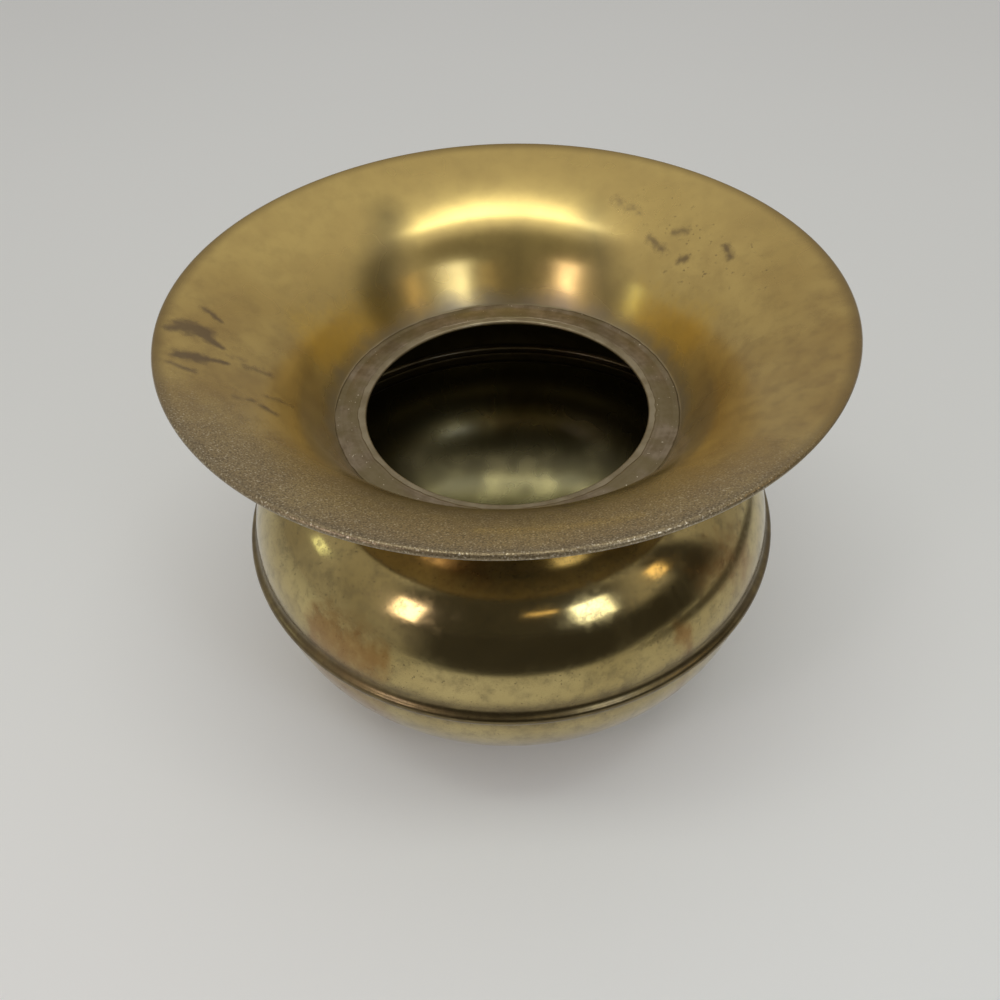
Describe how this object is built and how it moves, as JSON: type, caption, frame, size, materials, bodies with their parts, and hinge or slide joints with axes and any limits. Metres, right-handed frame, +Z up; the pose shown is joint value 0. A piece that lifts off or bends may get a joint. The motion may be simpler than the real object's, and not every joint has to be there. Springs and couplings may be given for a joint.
{
  "type": "brass spittoon",
  "caption": "Round brass spittoon with a wide flared mouth, a narrow waist, a domed shoulder with a beaded seam and a deep rounded bowl on a flat foot ring.",
  "frame": {"origin": "on the axis, on the surface that the foot ring stands on", "axes": "+Z up along the axis of revolution; the object is the same all round, so +X and +Y are free"},
  "size_m": [0.254, 0.254, 0.178],
  "materials": {
    "mouth_brass": "spun brass, lacquer worn, satin and finely pitted, with brown tarnish stains",
    "shoulder_brass": "spun brass, polished and lightly tarnished",
    "bowl_brass": "spun brass, polished outside, dull inside",
    "soft_solder": "dull grey tin-lead solder",
    "iron_wire": "drawn iron wire, hidden in the rim"
  },
  "bodies": {
    "root": {"mouth": "mouth_brass", "rim_wire": "iron_wire", "shoulder": "shoulder_brass", "throat_solder": "soft_solder", "bowl": "bowl_brass", "seam_solder": "soft_solder"}
  },
  "joints": []
}
